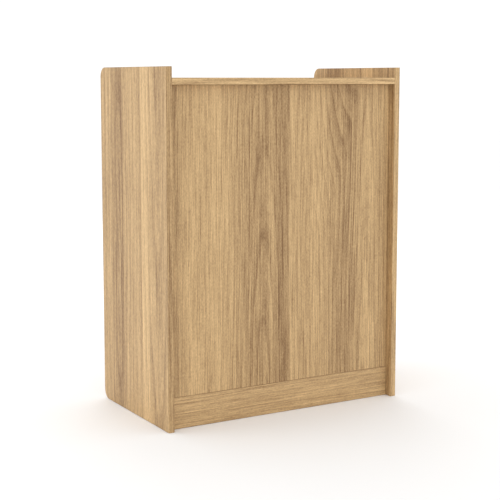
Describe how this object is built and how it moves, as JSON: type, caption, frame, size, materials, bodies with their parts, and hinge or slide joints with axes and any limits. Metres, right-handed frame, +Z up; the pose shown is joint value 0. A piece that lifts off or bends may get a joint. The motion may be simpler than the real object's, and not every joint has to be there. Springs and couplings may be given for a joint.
{
  "type": "book drop box",
  "caption": "Upright wooden book return cabinet: push-flap slot over a pair of lockable hinged doors, sloping felted chute and padded floor inside, plain recessed back, raised sides.",
  "frame": {"origin": "on the floor, at the middle of the bounding box (door pulls included)", "axes": "+Z up, the doors and the book slot face -Y, the plain back faces +Y, +X to the right seen from the front"},
  "size_m": [0.775, 0.457, 1],
  "materials": {
    "oak_laminate": "satin oak laminate",
    "beech": "bare planed wood",
    "felt": "pressed felt",
    "pad_fabric": "woven cover",
    "zinc": "bright zinc plate",
    "nickel": "nickel plate",
    "brushed_steel": "brushed",
    "nylon": "moulded, matte",
    "rubber": "matte",
    "magnet": "dark ferrite"
  },
  "bodies": {
    "carcass": {"side_panel_left": "oak_laminate", "side_panel_right": "oak_laminate", "top_panel": "oak_laminate", "bottom_panel": "oak_laminate", "back_panel": "oak_laminate", "back_kick_rail": "oak_laminate", "front_kick_rail": "oak_laminate", "fascia_panel": "oak_laminate", "lock_rail": "oak_laminate", "chute_board": "oak_laminate", "chute_felt": "felt", "chute_cleat_left": "beech", "chute_cleat_right": "beech", "cleat_screws": "zinc", "chute_screws": "zinc", "landing_pad": "pad_fabric", "connector_bolts": "zinc", "connector_discs": "zinc", "wood_dowels": "beech", "hinge_leaves_frame": "nickel", "hinge_pins": "nickel", "hinge_screws_frame": "zinc", "slot_bezel": "brushed_steel", "bezel_screws": "brushed_steel", "flap_rod": "nickel", "rod_caps": "brushed_steel", "flap_washers": "nylon", "flap_bumpers": "rubber", "lock_keeper": "zinc", "fitting_screws": "zinc", "bolt_strike": "zinc", "catch_cases": "nylon", "catch_magnets": "magnet", "catch_screws": "zinc", "door_stops": "nylon", "stop_screws": "zinc"},
    "right_door": {"door_right": "oak_laminate", "hinge_leaves_right": "nickel", "hinge_screws_right": "zinc", "pull_right": "brushed_steel", "pull_screws_right": "zinc", "lock_body": "nickel", "lock_nut": "zinc", "catch_strike_right": "zinc", "strike_screws_right": "zinc"},
    "left_door": {"door_left": "oak_laminate", "hinge_leaves_left": "nickel", "hinge_screws_left": "zinc", "pull_left": "brushed_steel", "pull_screws_left": "zinc", "bolt_housing": "zinc", "bolt_screws": "zinc", "catch_strike_left": "zinc", "strike_screws_left": "zinc"},
    "flap": {"slot_flap": "brushed_steel"},
    "lock": {"lock_plug": "nickel", "lock_cam": "zinc", "cam_screw": "zinc", "lock_key": "nickel"},
    "bolt": {"bolt_rod": "nickel"}
  },
  "joints": [
    {"name": "right_door_hinge", "type": "hinge", "parent": "carcass", "child": "right_door", "pos_m": [0.366, -0.2039, 0.395], "axis": [0, 0, 1], "range_deg": [0, 110]},
    {"name": "left_door_hinge", "type": "hinge", "parent": "carcass", "child": "left_door", "pos_m": [-0.366, -0.2039, 0.395], "axis": [0, 0, -1], "range_deg": [0, 110]},
    {"name": "flap_hinge", "type": "hinge", "parent": "carcass", "child": "flap", "pos_m": [0, -0.1945, 0.9], "axis": [1, 0, 0], "range_deg": [0, 75]},
    {"name": "lock_turn", "type": "hinge", "parent": "right_door", "child": "lock", "pos_m": [0.03, -0.2005, 0.672], "axis": [0, -1, 0], "range_deg": [0, 90]},
    {"name": "bolt_slide", "type": "slide", "parent": "left_door", "child": "bolt", "axis": [0, 0, 1], "range_m": [0, 0.018]}
  ]
}
